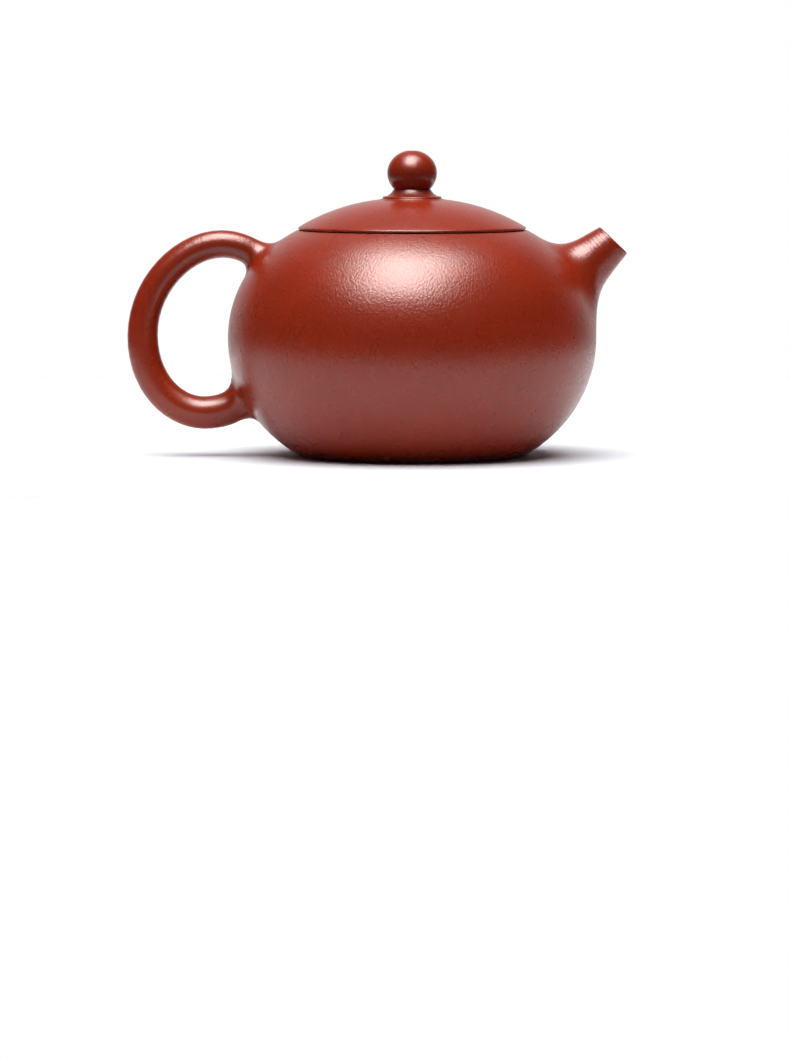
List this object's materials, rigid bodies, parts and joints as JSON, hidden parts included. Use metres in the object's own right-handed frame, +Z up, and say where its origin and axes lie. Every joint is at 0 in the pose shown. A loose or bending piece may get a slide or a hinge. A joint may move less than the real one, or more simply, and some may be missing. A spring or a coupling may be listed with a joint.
{
  "type": "yixing clay teapot",
  "caption": "Round unglazed red clay teapot with a short spout, a looped handle opposite it and a domed lid with a ball knob that lifts off.",
  "frame": {"origin": "on the surface that the pot stands on, under the middle of its length and width; the pot's turning axis stands 9.25 mm towards +X from it", "axes": "+X from the handle towards the spout, +Z up through the lid's knob, +Y across the pot"},
  "size_m": [0.1298, 0.0958, 0.0794],
  "materials": {
    "burnished_clay": "satin",
    "raw_clay": "matte"
  },
  "bodies": {
    "pot": {"body_wall": "burnished_clay", "base_disc": "burnished_clay", "mouth_ring": "raw_clay", "spout": "burnished_clay", "strainer": "raw_clay", "handle": "burnished_clay"},
    "lid": {"lid_plate": "burnished_clay", "lid_flange": "burnished_clay", "knob_seat": "burnished_clay", "knob": "burnished_clay"}
  },
  "joints": [
    {"name": "lid_lift", "type": "slide", "parent": "pot", "child": "lid", "axis": [0, 0, 1], "range_m": [0, 0.04]}
  ]
}
